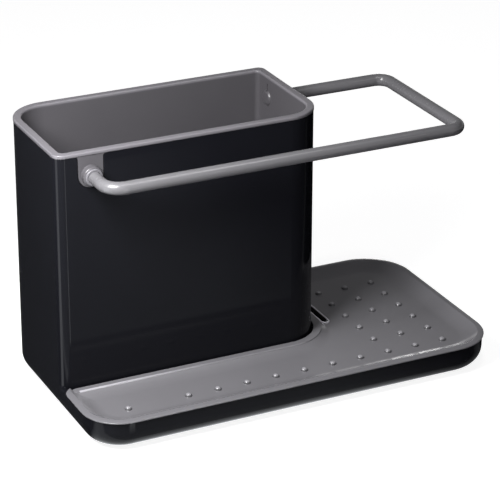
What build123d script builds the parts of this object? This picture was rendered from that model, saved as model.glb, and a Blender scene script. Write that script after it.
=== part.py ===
from build123d import *
from math import cos, pi, sin, sqrt
import os

# Kitchen sink caddy: a tall bin for brushes, a sponge tray round it and a bent rail for a cloth.
# Millimetres. X runs along the front, Y to the back, Z up. The origin is the centre of the
# footprint, on the surface that the caddy stands on.

# Footprint and heights of the whole caddy
body_width = 205.0
body_depth = 110.8
rim_height = 128.0
band_height = 15.2
foot_lift = 1.0
corner_front_left = 17.7
corner_front_right = 21.2
corner_back_right = 22.8
corner_back_left = 19.5
sharpest_corner = 0.6

# Shell, with a tall sleeve that is flush with the footprint's left and back sides
shell_wall = 1.8
shell_floor = 2.0
bottom_round = 8.6
sleeve_width_share = 0.6517
sleeve_depth_share = 0.6164
sleeve_front_left = 4.8
sleeve_front_right = 17.9
sleeve_back_right = 3.7
sleeve_lean = 0.4

# Ribs in the trough that carry the tray's inner edge
rib_thickness = 1.6
rib_gap = 0.3
ribs_in_front = 3
ribs_at_right = 2

# Bin
bin_gap = 0.3
bin_wall = 1.5
bin_floor = 2.0
bin_lean = 1.6
bin_foot_gap = 3.0
bin_foot_round = 3.0
bin_corner = 3.6
flange_thickness = 1.6
flange_overhang = 0.2
flange_outer_round = 0.6
flange_inner_round = 0.8
drain_radius = 2.0
drain_pitch = 16.0
drains_along = 6
drains_deep = 3

# Tab and socket that carry each end of the rail
tab_width = 11.8
tab_gap = 0.3
tab_flare = 1.5
boss_radius = 4.7
boss_length = 3.4
boss_round = 0.9
dome_wall = 0.9
dome_stand = 1.2
dome_round = 1.6
relief_width = 1.1
relief_depth = 0.6
relief_rise = 7.0

# Rail
rail_radius = 2.95
rail_fit = 0.03
rail_drop = 10.9
rail_start = 16.9
rail_front_reach = 20.1
rail_right_reach = 59.9
rail_end_inset = 13.9
rail_boss_bend = 8.2
rail_corner_bend = 6.3
rail_insert = 3.5

# Bush round each end of the rail
bush_wall = 0.7
bush_fit = 0.015
bush_length = 3.6
bush_head_width = 1.1
bush_head = 1.1
bush_head_round = 0.5

# Tray
tray_overhang = 0.7
tray_gap = 1.2
tray_rim_reach = 0.5
tray_end_round = 7.0
tray_edge = 0.3
tray_crown = 0.6
tray_crown_width = 3.0
tray_rim_width = 3.4
tray_lip_drop = 1.55
tray_lip_width = 4.0
tray_lip_bead = 0.5
tray_lip_round = 0.4
tray_floor_drop = 3.1
tray_slope = 9.2
tray_slope_at_sleeve = 7.6
tray_slope_at_slot = 1.9
tray_thickness = 1.8
skirt_gap = 0.4
skirt_wall = 1.4
skirt_depth = 3.0

# Small domes on the tray's floor, with one place in the front row left bare
nub_radius = 1.7
nub_height = 1.5
nub_from_left = 21.2
nub_from_right = 21.7
nub_from_front = 16.1
nub_from_back = 24.1
nub_from_sleeve = 20.2
nub_columns = 12
nub_rows = 6
nub_bare_column = 1
nub_deep_columns = 3

# Drain slot in the tray
slot_width = 3.3
slot_from_sleeve = 8.5
slot_from_sleeve_front = 13.6
slot_from_back = 12.7
slot_bead_width = 0.7
slot_bead_height = 0.6

# Non-slip pads
pad_radius = 6.5
pad_recess = 0.6
pad_gap = 0.2
pad_inset = 21.0
pad_edge_round = 0.3

# Numbers of steps in which the rim's crown and the tray's curved slopes are drawn
crown_steps = 5
slope_steps = 8

# Length by which every cutter passes the face that it cuts
overrun = 2.0

# Levels and places that follow from the sizes above
left = -body_width / 2
right = body_width / 2
front = -body_depth / 2
back = body_depth / 2
sleeve_width = body_width * sleeve_width_share
sleeve_depth = body_depth * sleeve_depth_share
sleeve_right = left + sleeve_width
sleeve_front = back - sleeve_depth
sleeve_top = rim_height - flange_thickness
floor_top = foot_lift + shell_floor
bin_bottom = floor_top + bin_foot_gap
bin_inset = shell_wall + bin_gap
rail_height = rim_height - rail_drop
ridge_height = band_height + tray_edge + tray_crown
lip_height = ridge_height - tray_lip_drop
tray_floor = ridge_height - tray_floor_drop
lip_share = 1 - sqrt(1 - tray_lip_drop / tray_floor_drop)


def rounded_outline(sides, radii, inset, height, least=sharpest_corner):
    """A level face inside four sides, with an arc at each corner, drawn in on all sides by inset."""
    west, east, south, north = sides
    low, high = south + inset, north - inset
    corners = [(west + inset, low), (east - inset, low), (east - inset, high), (west + inset, high)]
    arcs = [max(radius - inset, least) for radius in radii]
    return Pos(0, 0, height) * make_face(FilletPolyline(*corners, radius=arcs, close=True))


def footprint(inset, height):
    """The outline of the whole caddy, seen from above."""
    radii = (corner_front_left, corner_front_right, corner_back_right, corner_back_left)
    return rounded_outline((left, right, front, back), radii, inset, height)


def sleeve_outline(inset, height, least=sharpest_corner):
    """The outline of the sleeve, with two tight and two wide corners."""
    radii = (sleeve_front_left, sleeve_front_right, sleeve_back_right, corner_back_left)
    return rounded_outline((left, sleeve_right, sleeve_front, back), radii, inset, height, least)


def upright(face, height):
    """A straight solid that stands on a level face."""
    return extrude(face, amount=height, dir=(0, 0, 1))


def tapered(low_inset, low, high_inset, high, least=sharpest_corner):
    """A solid inside the sleeve's outline whose walls lean from one inset to the other."""
    ends = [sleeve_outline(low_inset, low, least), sleeve_outline(high_inset, high, least)]
    return loft(ends, ruled=True)


def lowest_edges(shape):
    """The edges of a solid's bottom face."""
    return shape.edges().group_by(Axis.Z)[0]


def highest_edges(shape):
    """The edges of a solid's top face."""
    return shape.edges().group_by(Axis.Z)[-1]


def sleeve_skin(height):
    """How far the leaning sleeve wall stands in from its foot at a height."""
    return sleeve_lean * (height - band_height) / (sleeve_top - band_height)


# The two places where the rail meets the sleeve: the point on the wall's skin, and the turn that
# takes a piece facing the front to face that wall's way
rail_skin = sleeve_skin(rail_height)
front_place = (Vector(left + rail_start, sleeve_front + rail_skin, rail_height), 0)
rear_place = (Vector(sleeve_right - rail_skin, back - rail_end_inset, rail_height), 90)
rail_places = {"front": front_place, "rear": rear_place}
bin_skin = bin_inset + bin_wall


def at_wall(place, shape):
    """Put a piece that was drawn facing the front at one of the two places."""
    point, turn = place
    return Pos(point) * Rot(0, 0, turn) * shape


def rail_rod(radius, start, end):
    """A round bar on the rail's line, its ends counted outward from the wall's skin."""
    bar = Cylinder(radius, end - start, align=(Align.CENTER, Align.CENTER, Align.MIN))
    return Pos(0, -start, 0) * Rot(90, 0, 0) * bar


def outer_edge(rod):
    """The edge round the outer end of a bar that faces the front."""
    return rod.faces().sort_by(Axis.Y)[0].edges()


def inner_edge(rod):
    """The edge round the inner end of a bar that faces the front."""
    return rod.faces().sort_by(Axis.Y)[-1].edges()


def u_plate(width, start, end):
    """A plate with a half-round foot on the rail's line, and flared where it meets the rim."""
    half = width / 2
    top = sleeve_top - rail_height
    flare_middle = half + tab_flare
    outline = [
        CenterArc((0, 0), half, 180, 180),
        Line((half, 0), (half, top - tab_flare)),
        CenterArc((flare_middle, top - tab_flare), tab_flare, 180, -90),
        Line((flare_middle, top), (-flare_middle, top)),
        CenterArc((-flare_middle, top - tab_flare), tab_flare, 90, -90),
        Line((-half, top - tab_flare), (-half, 0)),
    ]
    plate = extrude(make_face(Curve() + outline), amount=end - start)
    return Pos(0, -start, 0) * Rot(90, 0, 0) * plate


def outer_shell():
    """Black shell: trough, sleeve and floor in one moulding."""
    band = upright(footprint(0, foot_lift), band_height - foot_lift)
    band = fillet(lowest_edges(band), bottom_round)
    hollow = upright(footprint(shell_wall, floor_top), band_height - floor_top + overrun)
    hollow = fillet(lowest_edges(hollow), bottom_round - shell_wall)
    sleeve_block = upright(sleeve_outline(0, floor_top - overrun), band_height + overrun + overrun)
    well_block = upright(sleeve_outline(shell_wall, floor_top - overrun), band_height - floor_top + overrun)
    sleeve = tapered(0, band_height, sleeve_lean, sleeve_top)
    past_top = sleeve_top + overrun
    well_top = tapered(shell_wall, band_height, shell_wall + sleeve_skin(past_top), past_top)
    shell = band + sleeve - (hollow - sleeve_block) - (hollow & well_block) - well_top
    for place in rail_places.values():
        shell = shell - at_wall(place, rim_notch())
    for pad_place in pad_places():
        shell = shell - pad_place * upright(Circle(pad_radius + pad_gap), foot_lift + pad_recess)
    return shell + tray_ribs()


def rim_notch():
    """The cutter for a notch in the sleeve's top edge, a gap wider than the tab all round."""
    notch = u_plate(tab_width + 2 * tab_gap, -bin_inset, overrun)
    mouth_width = tab_width + 2 * (tab_gap + tab_flare)
    mouth = Box(mouth_width, bin_inset + overrun, overrun, align=(Align.CENTER, Align.MAX, Align.MIN))
    return notch + Pos(0, bin_inset, sleeve_top - rail_height) * mouth


def tray_ribs():
    """Upright ribs against the sleeve, on which the tray's inner edge rests."""
    reach = tray_gap + tray_lip_width - rib_gap + shell_wall / 2
    foot = floor_top - shell_floor / 2
    height = lip_height - tray_thickness - foot
    ribs = []
    for number in range(ribs_in_front):
        share = (number + 0.5) / ribs_in_front
        x = left + sleeve_front_left + share * (sleeve_width - sleeve_front_left - sleeve_front_right)
        rib = Box(rib_thickness, reach, height, align=(Align.CENTER, Align.MAX, Align.MIN))
        ribs.append(Pos(x, sleeve_front + shell_wall / 2, foot) * rib)
    for number in range(ribs_at_right):
        share = (number + 0.5) / ribs_at_right
        y = sleeve_front + sleeve_front_right + share * (sleeve_depth - sleeve_front_right - bottom_round)
        rib = Box(reach, rib_thickness, height, align=(Align.MIN, Align.CENTER, Align.MIN))
        ribs.append(Pos(sleeve_right - shell_wall / 2, y, foot) * rib)
    return ribs


def pad_places():
    """The places of the four pads, front left, front right, back left and back right."""
    across = body_width / 2 - pad_inset
    deep = body_depth / 2 - pad_inset
    return [Pos(x, y, 0) for y in (-deep, deep) for x in (-across, across)]


def foot_pads():
    """Four round non-slip pads in their recesses, which lift the shell off the worktop."""
    names = ("foot_pad_front_left", "foot_pad_front_right", "foot_pad_back_left", "foot_pad_back_right")
    pad = upright(Circle(pad_radius), foot_lift + pad_recess)
    pad = fillet(lowest_edges(pad), pad_edge_round)
    return {name: place * pad for name, place in zip(names, pad_places())}


def inner_bin():
    """Grey bucket with its rim, a tab and a socket for each end of the rail, and a pierced floor."""
    foot_inset = bin_inset + bin_lean
    bucket = tapered(foot_inset, bin_bottom, bin_inset + sleeve_lean, sleeve_top, bin_corner)
    bucket = fillet(lowest_edges(bucket), bin_foot_round)
    flange = upright(sleeve_outline(sleeve_lean - flange_overhang, sleeve_top), flange_thickness)
    bucket = bucket + fillet(highest_edges(flange), flange_outer_round)
    for place in rail_places.values():
        tab = u_plate(tab_width, -bin_inset - bin_wall / 2, 0)
        boss = rail_rod(boss_radius, -bin_inset, boss_length)
        bucket = bucket + at_wall(place, tab + fillet(outer_edge(boss), boss_round))
    inner_corner = bin_corner - bin_wall
    cavity_bottom = bin_bottom + bin_floor
    mouth_inset = bin_skin + sleeve_lean
    cavity = tapered(foot_inset + bin_wall, cavity_bottom, mouth_inset, sleeve_top, inner_corner)
    cavity = fillet(lowest_edges(cavity), bin_foot_round - bin_wall)
    mouth = upright(sleeve_outline(mouth_inset, sleeve_top, inner_corner), flange_thickness + overrun)
    bucket = bucket - cavity - mouth
    bucket = fillet(bucket.faces().sort_by(Axis.Z)[-1].inner_wires()[0].edges(), flange_inner_round)
    for place in rail_places.values():
        bucket = bucket + at_wall(place, socket_dome())
        bucket = bucket - at_wall(place, socket_bore())
    return bucket - bin_drains()


def socket_dome():
    """The blind end of a rail socket, which stands out inside the bin."""
    dome = rail_rod(rail_radius + rail_fit + dome_wall, -bin_skin - dome_stand, -bin_inset)
    return fillet(inner_edge(dome), dome_round)


def socket_bore():
    """The stepped bore of a rail socket, with a relief groove up the bin's wall above it."""
    bore = rail_rod(rail_radius + rail_fit, -rail_insert, boss_length + overrun)
    seat = rail_rod(rail_radius + rail_fit + bush_wall, boss_length - bush_length, boss_length + overrun)
    groove = Box(relief_width, 2 * relief_depth, relief_rise, align=(Align.CENTER, Align.CENTER, Align.MIN))
    return bore + seat + Pos(0, bin_skin, 0) * groove


def bin_drains():
    """Round drain holes through the bin's floor, in a grid round its middle."""
    middle = Pos((left + sleeve_right) / 2, (sleeve_front + back) / 2, bin_bottom + bin_floor / 2)
    grid = GridLocations(drain_pitch, drain_pitch, drains_along, drains_deep)
    return [middle * spot * Cylinder(drain_radius, bin_floor + overrun) for spot in grid]


def towel_rail():
    """Bent round rod from the front socket, round the tray's front and right, to the rear socket."""
    front_run = sleeve_front - rail_front_reach
    right_run = sleeve_right + rail_right_reach
    start = front_place[0] + Vector(0, rail_insert, 0)
    end = rear_place[0] - Vector(rail_insert, 0, 0)
    corners = [
        (start.X, front_run, rail_height),
        (right_run, front_run, rail_height),
        (right_run, end.Y, rail_height),
    ]
    bends = [rail_boss_bend, rail_corner_bend, rail_corner_bend]
    path = FilletPolyline(start, *corners, end, radius=bends)
    return sweep(Plane(start, z_dir=(0, -1, 0)) * Circle(rail_radius), path=path)


def rail_bush():
    """Ring with a collar that seats the rail in its socket, drawn facing the front."""
    bore_radius = rail_radius + rail_fit
    inner_end = boss_length - bush_length
    outer_end = boss_length + bush_head
    body = rail_rod(bore_radius + bush_wall - bush_fit, inner_end, boss_length)
    head = rail_rod(rail_radius + bush_head_width, boss_length, outer_end)
    head = fillet(outer_edge(head), bush_head_round)
    bore = rail_rod(bore_radius, inner_end - overrun, outer_end + overrun)
    return body + head - bore


def tray_outline(rim, at_front_wall, at_right_wall, height):
    """The tray's L, drawn in by rim on its free sides and by two more insets along the sleeve."""
    grown = tray_overhang - rim
    west, east = left - grown, right + grown
    south, north = front - grown, back + grown
    wall_y = sleeve_front - tray_gap - at_front_wall
    wall_x = sleeve_right + tray_gap + at_right_wall
    corners = [(west, south), (east, south), (east, north), (wall_x, north), (wall_x, wall_y), (west, wall_y)]
    free = [corner + grown for corner in (corner_front_left, corner_front_right, corner_back_right)]
    end = max(tray_end_round - rim, sharpest_corner)
    round_sleeve = sleeve_front_right + tray_gap + min(at_front_wall, at_right_wall)
    outline = FilletPolyline(*corners, radius=[*free, end, round_sleeve, end], close=True)
    return Pos(0, 0, height) * make_face(outline)


def rim_outline(inset, height):
    """The outline of the rim, whose two ends reach closer to the sleeve than the lip does."""
    return tray_outline(inset, -tray_rim_reach, -tray_rim_reach, height)


def basin_ring(run_share, at_front, at_right, lower_by):
    """The basin's outline at a share of its slope, which falls steeply at first and ends level."""
    height = ridge_height - tray_floor_drop * (1 - (1 - run_share) ** 2) - lower_by
    return tray_outline(tray_crown_width + tray_slope * run_share, at_front, at_right, height)


def tray_hollow(lower_by):
    """The tray's basin, from its lip along the sleeve down to its floor, or the same lowered."""
    rings = []
    for step in range(slope_steps + 1):
        share = 1 - step / slope_steps
        at_front = tray_lip_width + tray_slope_at_sleeve * share
        at_right = tray_lip_width + tray_slope_at_slot * share
        rings.append(basin_ring(lip_share + (1 - lip_share) * share, at_front, at_right, lower_by))
    return loft(rings, ruled=True)


def above_lip():
    """The space over the lip and inside the rim."""
    rings = []
    for step in range(slope_steps + 1):
        rings.append(basin_ring(lip_share * (1 - step / slope_steps), -overrun, -overrun, 0))
    return loft(rings, ruled=True)


def tray_crown_block():
    """The rim's crowned top, a quarter of an ellipse in cross-section, drawn in a few steps."""
    rings = []
    for step in range(crown_steps + 1):
        turn = pi / 2 * step / crown_steps
        inset = tray_crown_width - tray_crown_width * cos(turn)
        rings.append(rim_outline(inset, band_height + tray_edge + tray_crown * sin(turn)))
    return loft(rings, ruled=True)


def lip_bead():
    """The raised strip along the sleeve, with a rounded edge towards the tray's floor."""
    foot = lip_height - tray_thickness / 2
    height = tray_lip_bead + tray_thickness / 2
    strip = upright(tray_outline(tray_rim_width, 0, 0, foot), height)
    strip = strip - upright(tray_outline(-overrun, tray_lip_width, tray_lip_width, foot), height)
    return fillet(highest_edges(strip), tray_lip_round)


def drain_tray():
    """Grey L-shaped dish with a crowned rim, a locating skirt, domes and a drain slot."""
    rim = upright(rim_outline(0, band_height), tray_edge) + tray_crown_block()
    lip_foot = lip_height - tray_thickness
    block = upright(tray_outline(tray_rim_width, 0, 0, lip_foot), band_height - lip_foot)
    tray = rim + block + tray_hollow(tray_thickness) - above_lip() - tray_hollow(0)
    tray = tray + tray_skirt() + lip_bead() + tray_nubs() + slot_bead()
    return tray - slot_prism(slot_width, tray_floor - tray_thickness - overrun, tray_floor + overrun)


def tray_skirt():
    """The wall under the tray's free sides that keeps it inside the trough."""
    outer = tray_overhang + shell_wall + skirt_gap
    block = upright(tray_outline(outer, 0, 0, band_height - skirt_depth), skirt_depth)
    inside = tray_outline(outer + skirt_wall, -overrun, -overrun, band_height - skirt_depth)
    return block - upright(inside, skirt_depth)


def tray_nubs():
    """The domes: a full row along the front, and rows behind it at the tray's right end."""
    sphere_radius = (nub_radius**2 + nub_height**2) / (2 * nub_height)
    sphere = Pos(0, 0, nub_height - sphere_radius) * Sphere(sphere_radius)
    nub = sphere & Box(2 * nub_radius, 2 * nub_radius, 2 * nub_height)
    first, last = front + nub_from_front, back - nub_from_back
    row_places = spread(first, last, nub_rows)
    along = spread(left + nub_from_left, right - nub_from_right, nub_columns)
    deep = spread(sleeve_right + nub_from_sleeve, right - nub_from_right, nub_deep_columns)
    spots = [(x, first) for column, x in enumerate(along) if column != nub_bare_column]
    spots += [(x, y) for x in deep for y in row_places[1:]]
    return [Pos(x, y, tray_floor) * nub for x, y in spots]


def spread(first, last, count):
    """Evenly spaced places from the first to the last."""
    return [first + (last - first) * number / (count - 1) for number in range(count)]


def slot_prism(width, low, high):
    """An upright block with round ends, over the drain slot's place."""
    start, end = sleeve_front + slot_from_sleeve_front, back - slot_from_back
    middle = Pos(sleeve_right + slot_from_sleeve, (start + end) / 2, low)
    face = Rot(0, 0, 90) * SlotOverall(end - start + width - slot_width, width)
    return upright(middle * face, high - low)


def slot_bead():
    """The raised edge round the drain slot."""
    low = tray_floor - tray_thickness / 2
    bead = slot_prism(slot_width + 2 * slot_bead_width, low, tray_floor + slot_bead_height)
    return fillet(highest_edges(bead), slot_bead_height / 2)


def pieces():
    """Every piece of the caddy, by name."""
    made = {"outer_shell": outer_shell(), "inner_bin": inner_bin(), "drain_tray": drain_tray()}
    made["towel_rail"] = towel_rail()
    for name, place in rail_places.items():
        made[f"{name}_rail_bush"] = at_wall(place, rail_bush())
    return made | foot_pads()


os.makedirs("parts", exist_ok=True)
for name, piece in pieces().items():
    export_step(piece, f"parts/{name}.step")
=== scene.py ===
import math

import bpy
from mathutils import Euler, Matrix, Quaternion, Vector


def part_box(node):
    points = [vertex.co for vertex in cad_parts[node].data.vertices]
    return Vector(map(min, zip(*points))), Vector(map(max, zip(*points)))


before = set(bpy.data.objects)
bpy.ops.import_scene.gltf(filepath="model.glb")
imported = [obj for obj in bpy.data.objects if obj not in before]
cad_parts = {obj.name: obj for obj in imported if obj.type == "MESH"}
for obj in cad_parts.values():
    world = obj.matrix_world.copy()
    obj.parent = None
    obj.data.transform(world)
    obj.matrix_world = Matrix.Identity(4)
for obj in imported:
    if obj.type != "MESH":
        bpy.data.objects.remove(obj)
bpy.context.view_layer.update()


# Non-slip pads. Four round feet are punched from soft black rubber and pressed into recesses
# under the shell. Rubber is dull and a little dusty, with fine open pores.
clean_rubber = (0.014, 0.014, 0.015)
dusty_rubber = (0.030, 0.030, 0.030)
dust_size = 0.004
pore_size = 0.0004
pore_depth = 0.00003
pad_edge = 0.0003


def plain_material(name):
    """A material, its node tree and shader, and the place of each point on the piece in metres."""
    material = bpy.data.materials.new(name)
    material.use_nodes = True
    tree = material.node_tree
    tree.nodes.clear()
    shader = tree.nodes.new("ShaderNodeBsdfPrincipled")
    out = tree.nodes.new("ShaderNodeOutputMaterial")
    tree.links.new(shader.outputs["BSDF"], out.inputs["Surface"])
    place = tree.nodes.new("ShaderNodeTexCoord")
    return material, tree, shader, place.outputs["Object"]


def noise(tree, where, size, detail):
    """Cloudy noise with blotches of about this size in metres."""
    cloud = tree.nodes.new("ShaderNodeTexNoise")
    cloud.inputs["Scale"].default_value = 1 / size
    cloud.inputs["Detail"].default_value = detail
    tree.links.new(where, cloud.inputs["Vector"])
    return cloud.outputs["Fac"]


# Most of the noise lies between these two
noise_range = (0.2, 0.8)


def two_tones(tree, cloud, dark, light):
    """A colour that drifts with the noise between two tones."""
    ramp = tree.nodes.new("ShaderNodeValToRGB")
    for stop, position, tone in zip(ramp.color_ramp.elements, noise_range, (dark, light)):
        stop.position = position
        stop.color = (*tone, 1)
    tree.links.new(cloud, ramp.inputs["Fac"])
    return ramp.outputs["Color"]


def between(tree, value, low, high, at_low, at_high, way="SMOOTHSTEP"):
    """A number that goes from at_low to at_high while another goes from low to high."""
    reach = tree.nodes.new("ShaderNodeMapRange")
    reach.interpolation_type = way
    reach.inputs["From Min"].default_value = low
    reach.inputs["From Max"].default_value = high
    reach.inputs["To Min"].default_value = at_low
    reach.inputs["To Max"].default_value = at_high
    tree.links.new(value, reach.inputs["Value"])
    return reach.outputs["Result"]


def spread(tree, cloud, low, high):
    """A number that follows the noise between two limits."""
    return between(tree, cloud, *noise_range, low, high, way="LINEAR")


def relief(tree, height, depth, under):
    """Fine relief of this depth in metres, laid over another normal."""
    bump = tree.nodes.new("ShaderNodeBump")
    bump.inputs["Strength"].default_value = 1.0
    bump.inputs["Distance"].default_value = depth
    tree.links.new(height, bump.inputs["Height"])
    tree.links.new(under, bump.inputs["Normal"])
    return bump.outputs["Normal"]


def softened(tree, radius):
    """The normal with every edge rounded to this radius in metres."""
    bevel = tree.nodes.new("ShaderNodeBevel")
    bevel.samples = 6
    bevel.inputs["Radius"].default_value = radius
    return bevel.outputs["Normal"]


def dress(tree, shader, colour, rough, shine, normal):
    """Give a shader its colour, its roughness, how strongly it shines, and its relief."""
    tree.links.new(colour, shader.inputs["Base Color"])
    tree.links.new(rough, shader.inputs["Roughness"])
    shader.inputs["Specular IOR Level"].default_value = shine
    tree.links.new(normal, shader.inputs["Normal"])


def finish_node(name, material):
    """Give a piece its material."""
    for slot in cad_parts[name].material_slots:
        slot.material = material


rubber, tree, shader, where = plain_material("pad_rubber")
dust = noise(tree, where, dust_size, detail=4)
pores = noise(tree, where, pore_size, detail=3)
dress(
    tree,
    shader,
    colour=two_tones(tree, dust, clean_rubber, dusty_rubber),
    rough=spread(tree, dust, low=0.72, high=0.90),
    shine=0.3,
    normal=relief(tree, pores, pore_depth, softened(tree, pad_edge)),
)
for corner in ("front_left", "front_right", "back_left", "back_right"):
    finish_node("foot_pad_" + corner, rubber)


# Outer shell. One black moulding with a polished skin: sleeve, trough and floor. The polish isn't
# quite even, so that reflections run over it with a slow wave, and wiping leaves faint smears.
polished_black = (0.0078, 0.0080, 0.0105)
smeared_black = (0.0088, 0.0091, 0.0120)
smear_size = 0.035
wave_size = 0.018
wave_depth = 0.000012
skin_size = 0.0008
skin_depth = 0.0000006
shell_edge = 0.0005

black_gloss, tree, shader, where = plain_material("gloss_black")
smears = noise(tree, where, smear_size, detail=6)
waves = noise(tree, where, wave_size, detail=1)
skin = noise(tree, where, skin_size, detail=2)
waved = relief(tree, waves, wave_depth, softened(tree, shell_edge))
dress(
    tree,
    shader,
    colour=two_tones(tree, smears, polished_black, smeared_black),
    rough=spread(tree, smears, low=0.05, high=0.10),
    shine=0.15,
    normal=relief(tree, skin, skin_depth, waved),
)
finish_node("outer_shell", black_gloss)


# Bin. The bucket, its rim and the two sockets are one grey moulding. Its mould was blasted to a
# fine satin grain, and the plastic's flow leaves the colour very slightly uneven. Below the rim, the
# walls and the tab in front with its socket are painted darker, as painted shade.
bin_dark = (0.172, 0.164, 0.180)
bin_light = (0.188, 0.180, 0.196)
bin_rough = 0.30
rough_drift = 0.02
flow_size = 0.022
grain_size = 0.00045
grain_depth = 0.000002
satin_edge = 0.0003

bin_low, bin_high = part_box("inner_bin")
front_wall_fade = (bin_high.y - 0.0670, bin_high.y - 0.0664)
right_wall_fade = (bin_low.x + 0.1308, bin_low.x + 0.1315)
bin_rim_fade = (bin_high.z - 0.0018, bin_high.z - 0.0008)
walls_shade_share = 0.50
tab_shade_share = 0.52


def satin_plastic(name, dark, light, rough):
    """Grey moulded plastic with a fine blasted grain, its nodes, and its colour to work on."""
    satin, tree, shader, where = plain_material(name)
    flow = noise(tree, where, flow_size, detail=5)
    grain = noise(tree, where, grain_size, detail=3)
    colour = two_tones(tree, flow, dark, light)
    dress(
        tree,
        shader,
        colour,
        rough=spread(tree, flow, rough - rough_drift, rough + rough_drift),
        shine=0.5,
        normal=relief(tree, grain, grain_depth, softened(tree, satin_edge)),
    )
    return satin, tree, shader, where, colour


def joined(tree, operation, *numbers):
    """Several numbers joined, one after another, by a sum, a product or the larger of two."""
    total, *others = numbers
    for number in others:
        step = tree.nodes.new("ShaderNodeMath")
        step.operation = operation
        tree.links.new(total, step.inputs[0])
        tree.links.new(number, step.inputs[1])
        total = step.outputs[0]
    return total


def product(tree, *numbers):
    """Several numbers multiplied."""
    return joined(tree, "MULTIPLY", *numbers)


def apart(tree, vector):
    """The three parts of a vector."""
    split = tree.nodes.new("ShaderNodeSeparateXYZ")
    tree.links.new(vector, split.inputs[0])
    return split.outputs


def toned(tree, colour, share):
    """A colour made darker or paler, to a share of itself."""
    scaled = tree.nodes.new("ShaderNodeVectorMath")
    scaled.operation = "SCALE"
    tree.links.new(colour, scaled.inputs[0])
    tree.links.new(share, scaled.inputs["Scale"])
    return scaled.outputs["Vector"]


bin_plastic, tree, shader, where, colour = satin_plastic("bin_satin", bin_dark, bin_light, bin_rough)
part = apart(tree, where)
behind_front = between(tree, part["Y"], *front_wall_fade, 0.0, 1.0)
on_front = between(tree, behind_front, 0.0, 1.0, 1.0, 0.0)
left_of_right = between(tree, part["X"], *right_wall_fade, 1.0, 0.0)
below_rim = between(tree, part["Z"], *bin_rim_fade, 1.0, 0.0)
walls = product(tree, behind_front, left_of_right, below_rim)
tab = product(tree, on_front, below_rim)
# Painted shade: the walls and the tab below the rim are darkened to a share of their colour.
walls_painted_shade = between(tree, walls, 0.0, 1.0, 1.0, walls_shade_share)
tab_painted_shade = between(tree, tab, 0.0, 1.0, 1.0, tab_shade_share)
bin_painted_shade = product(tree, walls_painted_shade, tab_painted_shade)
tree.links.new(toned(tree, colour, bin_painted_shade), shader.inputs["Base Color"])
finish_node("inner_bin", bin_plastic)


# Bushes. A split ring of the same plastic is pushed into each socket and grips the rail's end.
# It comes from another mould, so it is a shade darker and smoother than the bin.
bush_dark = (0.165, 0.160, 0.175)
bush_light = (0.180, 0.175, 0.190)
bush_rough = 0.25

bush_plastic = satin_plastic("bush_satin", bush_dark, bush_light, bush_rough)[0]
finish_node("front_rail_bush", bush_plastic)
finish_node("rear_rail_bush", bush_plastic)


# Rail. A steel rod is bent three times and coated grey. The coat has a faint orange peel and fine
# streaks from left to right, and is a little glossier than the plastic.
coat_dark = (0.154, 0.151, 0.160)
coat_light = (0.162, 0.159, 0.168)
coat_patch_size = 0.015
peel_size = 0.0011
peel_depth = 0.000005
streak_width = 0.0012
streak_depth = 0.000020
streak_stretch = (0.03, 1.0, 1.0)
rail_edge = 0.0003

coat, tree, shader, where = plain_material("rail_coat")
patches = noise(tree, where, coat_patch_size, detail=4)
peel = noise(tree, where, peel_size, detail=2)
stretched = tree.nodes.new("ShaderNodeMapping")
stretched.inputs["Scale"].default_value = streak_stretch
tree.links.new(where, stretched.inputs["Vector"])
streaks = noise(tree, stretched.outputs["Vector"], streak_width, detail=2)
lines = relief(tree, streaks, streak_depth, softened(tree, rail_edge))
dress(
    tree,
    shader,
    colour=two_tones(tree, patches, coat_dark, coat_light),
    rough=spread(tree, streaks, low=0.20, high=0.30),
    shine=0.5,
    normal=relief(tree, peel, peel_depth, lines),
)
finish_node("towel_rail", coat)


# Drain tray. A thin grey moulding with the bin's satin grain, raised rim, domes and drain slot.
# Painted highlights make the slot's raised edge, the inner lip and the tops of the domes pale, and
# painted shade darkens its underside and the steep faces low in the dish.
tray_dark = (0.172, 0.168, 0.180)
tray_light = (0.184, 0.180, 0.193)
tray_rough = 0.20
tray_low, tray_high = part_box("drain_tray")
tray_floor = tray_high.z - 0.0031

steep_to_gentle = (0.30, 0.75)
shade_top_fade = (tray_floor + 0.0011, tray_floor + 0.0014)
shade_share = 0.50

slot_x_ends = (tray_high.x - 0.0659, tray_high.x - 0.0612)
slot_y_ends = (tray_high.y - 0.0577, tray_high.y - 0.0131)
slot_edge_heights = (tray_floor + 0.0002, tray_floor + 0.0008)
slot_highlight_share = 5.0

lip_x_ends = (tray_low.x + 0.0072, tray_low.x + 0.1232)
lip_y_ends = (tray_low.y + 0.0377, tray_low.y + 0.0389)
lip_edge_heights = (tray_high.z - 0.0015, tray_high.z - 0.0009)
lip_left_to_right = (tray_low.x + 0.0132, tray_low.x + 0.0832)
lip_highlight_left = 2.6
lip_highlight_right = 1.2

row_x_ends = (tray_low.x + 0.0192, tray_high.x - 0.0192)
row_y_ends = (tray_low.y + 0.0136, tray_low.y + 0.0201)
field_x_ends = (tray_high.x - 0.0557, tray_high.x - 0.0192)
field_y_ends = (tray_low.y + 0.0136, tray_high.y - 0.0211)
dome_heights = (tray_floor + 0.0003, tray_floor + 0.0020)
dome_highlight_fade = (tray_floor + 0.0005, tray_floor + 0.0012)
dome_highlight_share = 1.6

# How far outside its ends a painted highlight fades out
highlight_fade = 0.0002


def within(tree, value, low, high, most=1.0):
    """The most between two ends, and nothing past the fades outside them."""
    rise = between(tree, value, low - highlight_fade, low, 0.0, most)
    fall = between(tree, value, high, high + highlight_fade, 1.0, 0.0)
    return product(tree, rise, fall)


def painted_highlight_on(tree, part, x_ends, y_ends, heights, most=1.0):
    """A painted highlight: the most on one place of the tray, and nothing elsewhere."""
    across = within(tree, part["X"], *x_ends)
    along = within(tree, part["Y"], *y_ends)
    return product(tree, across, along, within(tree, part["Z"], *heights, most))


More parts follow.
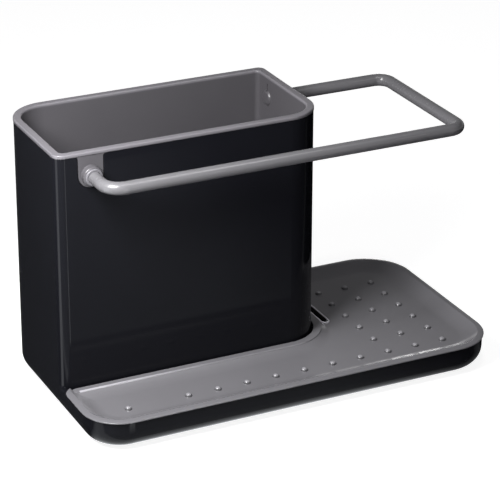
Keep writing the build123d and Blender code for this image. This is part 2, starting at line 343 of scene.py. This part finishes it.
tray_plastic, tree, shader, where, colour = satin_plastic("tray_satin", tray_dark, tray_light, tray_rough)
part = apart(tree, where)
face = tree.nodes.new("ShaderNodeNewGeometry")
upward = apart(tree, face.outputs["Normal"])["Z"]
# Painted shade: steep faces and the underside, low in the dish, are made darker.
steep_painted_shade = between(tree, upward, *steep_to_gentle, shade_share, 1.0)
above_shade = between(tree, part["Z"], *shade_top_fade, 0.0, 1.0)
# Painted highlights: the slot's raised edge, the lip's edge and the dome tops are made paler.
slot_edge_highlight = painted_highlight_on(tree, part, slot_x_ends, slot_y_ends, slot_edge_heights, slot_highlight_share)
lip_highlight_band = painted_highlight_on(tree, part, lip_x_ends, lip_y_ends, lip_edge_heights)
lip_highlight_tone = between(tree, part["X"], *lip_left_to_right, lip_highlight_left, lip_highlight_right)
lip_highlight = product(tree, lip_highlight_band, lip_highlight_tone)
dome_row_highlight = painted_highlight_on(tree, part, row_x_ends, row_y_ends, dome_heights)
dome_field_highlight = painted_highlight_on(tree, part, field_x_ends, field_y_ends, dome_heights)
dome_highlight_tone = between(tree, part["Z"], *dome_highlight_fade, 0.0, dome_highlight_share)
dome_top_highlights = product(tree, joined(tree, "MAXIMUM", dome_row_highlight, dome_field_highlight), dome_highlight_tone)
# Painted shade and painted highlights together set each point's share of the tray's colour.
share = joined(tree, "MAXIMUM", steep_painted_shade, above_shade, slot_edge_highlight, lip_highlight, dome_top_highlights)
tree.links.new(toned(tree, colour, share), shader.inputs["Base Color"])
finish_node("drain_tray", tray_plastic)


# Camera. It looks at the caddy from the front, a little from the left and from above, through a
# long lens, as in the photograph.
camera_place = (-0.417884, -0.852162, 0.485169)
camera_down = 24.159
camera_round = 26.014
camera_roll = 0.257
lens_length = 160.1
sensor_width = 36.0
near_limit = 0.05

long_lens = bpy.data.cameras.new("camera")
long_lens.lens = lens_length
long_lens.sensor_width = sensor_width
long_lens.clip_start = near_limit
camera = bpy.data.objects.new("camera", long_lens)
bpy.context.collection.objects.link(camera)
camera.location = camera_place
camera.rotation_mode = "QUATERNION"
aim = Euler((math.radians(90 - camera_down), 0, math.radians(-camera_round))).to_quaternion()
camera.rotation_quaternion = aim @ Quaternion((0, 0, 1), math.radians(camera_roll))
bpy.context.scene.camera = camera


# Light. A soft lamp stands close to the front left corner, so that what is near it is brighter,
# and two weak ones help. Three more show only in gloss, on the rail and the rims. The last casts
# no shadow, because the domes would break its line on the front rim. The room fills in.
middle = (0.0, 0.0, 0.06)
above_middle = (0.0, 0.0, 0.08)
tray_strip = (-0.045, -0.03, 0.02)
tray_left = (-0.05, -0.02, 0.02)
tray_field = (0.04, 0.0, 0.014)
white = (1, 1, 1)
room_tint = (0.97, 0.96, 1.0)
room_fill = 0.10
horizon_fade = (0.05, 0.25)
horizon_glow = 0.9
sky_glow = 0.12


def soft_lamp(name, place, target, size, power, only_gloss=False, shadow=True):
    """A square soft lamp, its power in watts, that shines from a place towards a target."""
    lamp = bpy.data.lights.new(name, "AREA")
    lamp.size = size
    lamp.energy = power
    lamp.use_shadow = shadow
    holder = bpy.data.objects.new(name, lamp)
    bpy.context.collection.objects.link(holder)
    holder.location = place
    holder.rotation_euler = (Vector(target) - Vector(place)).to_track_quat("-Z", "Y").to_euler()
    holder.visible_camera = False
    holder.visible_diffuse = not only_gloss


def glowing(tree, kind, colour, strength=1.0):
    """A background or a glowing surface of this colour and strength."""
    glow = tree.nodes.new(kind)
    glow.inputs["Color"].default_value = (*colour, 1)
    glow.inputs["Strength"].default_value = strength
    return glow


def for_rays(tree, kind, shown, otherwise):
    """One shader for a kind of ray, and another for the rest."""
    rays = tree.nodes.new("ShaderNodeLightPath")
    choice = tree.nodes.new("ShaderNodeMixShader")
    tree.links.new(rays.outputs[kind], choice.inputs["Fac"])
    tree.links.new(otherwise.outputs[0], choice.inputs[1])
    tree.links.new(shown.outputs[0], choice.inputs[2])
    return choice


soft_lamp("key_lamp", (-0.20, -0.11, 0.255), tray_strip, size=0.12, power=1.40)
soft_lamp("left_lamp", (-0.50, -0.02, 0.40), above_middle, size=0.05, power=0.1)
soft_lamp("front_top_lamp", (0.0, -0.17, 0.65), middle, size=0.06, power=0.4)
soft_lamp("high_left_lamp", (-0.30, -0.10, 0.55), middle, size=0.12, power=1.2, only_gloss=True)
soft_lamp("high_right_lamp", (0.17, -0.20, 0.60), tray_left, size=0.15, power=0.5, only_gloss=True)
soft_lamp(
    "back_right_lamp", (0.36, 0.52, 0.045), tray_field, size=0.04, power=0.045, only_gloss=True, shadow=False
)

room = bpy.data.worlds.new("room")
bpy.context.scene.world = room
room.use_nodes = True
tree = room.node_tree
tree.nodes.clear()
heading = tree.nodes.new("ShaderNodeTexCoord")
upward = apart(tree, heading.outputs["Generated"])["Z"]
backdrop = glowing(tree, "ShaderNodeBackground", white)
sky = between(tree, upward, *horizon_fade, horizon_glow, sky_glow)
tree.links.new(sky, backdrop.inputs["Strength"])
fill = glowing(tree, "ShaderNodeBackground", room_tint, room_fill)
plain_white = glowing(tree, "ShaderNodeBackground", white)
not_seen = for_rays(tree, "Is Glossy Ray", shown=backdrop, otherwise=fill)
for_camera = for_rays(tree, "Is Camera Ray", shown=plain_white, otherwise=not_seen)
out = tree.nodes.new("ShaderNodeOutputWorld")
tree.links.new(for_camera.outputs[0], out.inputs["Surface"])


# Floor. A pale sheet, white to the camera, which keeps the caddy's faint shadow. In gloss it
# glows as painted reflection light, no lamp: bright in front of the caddy and dim beside and behind
# it, with two wedges of light that the sleeve's front left corner picks up in the shell's polish.
floor_size = 6.0
seen_grey = (0.55, 0.55, 0.55)
seen_glow = 0.89
bounce_grey = (0.45, 0.45, 0.46)
gloss_tint = (0.94, 0.97, 1.0)

shell_low, shell_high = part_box("outer_shell")
under_shell_fade = (shell_low.y + 0.0094, shell_low.y + 0.0194)
front_glow = 0.65
under_glow = 0.05
right_fade = (0.0, shell_high.x + 0.0075)
right_share = 0.05
far_fade = (shell_low.y - 0.0446, shell_low.y - 0.0046)
far_share = 0.75
foot_fade = (shell_low.y - 0.0026, shell_low.y - 0.0006)
foot_glow = 0.9
foot_right_fade = (0.0, shell_high.x + 0.0025)
foot_right_share = 0.10
sleeve_corner = (shell_low.x + 0.0048, shell_high.y - 0.0634, 0)
left_ray_fade = (shell_low.x - 0.0325, shell_low.x - 0.0125)
front_ray_fade = (shell_low.y - 0.0346, shell_low.y - 0.0146)

bpy.ops.object.select_all(action="DESELECT")
bpy.ops.mesh.primitive_plane_add(size=floor_size, location=(0, 0, 0))
floor = bpy.context.object
floor.name = "floor"
paper = bpy.data.materials.new("pale_paper")
paper.use_nodes = True
tree = paper.node_tree
tree.nodes.clear()
where = tree.nodes.new("ShaderNodeTexCoord").outputs["Object"]
spot = apart(tree, where)


def ray_of_light(azimuth, half_width, blur, strength):
    """A wedge of light that points away from the sleeve's front left corner, in degrees."""
    turned = tree.nodes.new("ShaderNodeMapping")
    turned.vector_type = "TEXTURE"
    turned.inputs["Location"].default_value = sleeve_corner
    turned.inputs["Rotation"].default_value = (0, 0, math.radians(azimuth))
    tree.links.new(where, turned.inputs["Vector"])
    around = tree.nodes.new("ShaderNodeTexGradient")
    around.gradient_type = "RADIAL"
    tree.links.new(turned.outputs["Vector"], around.inputs["Vector"])
    # The gradient goes from 0 to 1 in a whole turn, and is a half along the wedge's middle
    inner = half_width / 360
    outer = (half_width + blur) / 360
    rise = between(tree, around.outputs["Fac"], 0.5 - outer, 0.5 - inner, 0.0, strength)
    fall = between(tree, around.outputs["Fac"], 0.5 + inner, 0.5 + outer, 1.0, 0.0)
    return product(tree, rise, fall)


ahead = product(
    tree,
    between(tree, spot["Y"], *under_shell_fade, front_glow, under_glow),
    between(tree, spot["X"], *right_fade, 1.0, right_share),
    between(tree, spot["Y"], *far_fade, far_share, 1.0),
)
at_foot = product(
    tree,
    between(tree, spot["Y"], *foot_fade, 0.0, foot_glow),
    between(tree, spot["X"], *foot_right_fade, 1.0, foot_right_share),
    between(tree, spot["Y"], *under_shell_fade, 1.0, 0.0),
)
left_ray = product(
    tree,
    ray_of_light(azimuth=-171, half_width=9, blur=9, strength=3.0),
    between(tree, spot["X"], *left_ray_fade, 1.0, 0.0),
)
front_ray = product(
    tree,
    ray_of_light(azimuth=-77, half_width=2, blur=2, strength=4.0),
    between(tree, spot["Y"], *front_ray_fade, 1.0, 0.0),
)
# Painted reflection: a glow that only glossy rays see, shaped to lie in the shell's polish.
painted_reflection_glow = glowing(tree, "ShaderNodeEmission", gloss_tint)
tree.links.new(joined(tree, "ADD", ahead, at_foot, left_ray, front_ray), painted_reflection_glow.inputs["Strength"])
bounce = tree.nodes.new("ShaderNodeBsdfDiffuse")
bounce.inputs["Color"].default_value = (*bounce_grey, 1)
shaded = tree.nodes.new("ShaderNodeBsdfDiffuse")
shaded.inputs["Color"].default_value = (*seen_grey, 1)
glow = glowing(tree, "ShaderNodeEmission", white, seen_glow)
bright = tree.nodes.new("ShaderNodeAddShader")
tree.links.new(shaded.outputs[0], bright.inputs[0])
tree.links.new(glow.outputs[0], bright.inputs[1])
not_seen = for_rays(tree, "Is Glossy Ray", shown=painted_reflection_glow, otherwise=bounce)
for_camera = for_rays(tree, "Is Camera Ray", shown=bright, otherwise=not_seen)
out = tree.nodes.new("ShaderNodeOutputMaterial")
tree.links.new(for_camera.outputs[0], out.inputs["Surface"])
floor.data.materials.append(paper)

bpy.context.scene.view_settings.view_transform = "Standard"
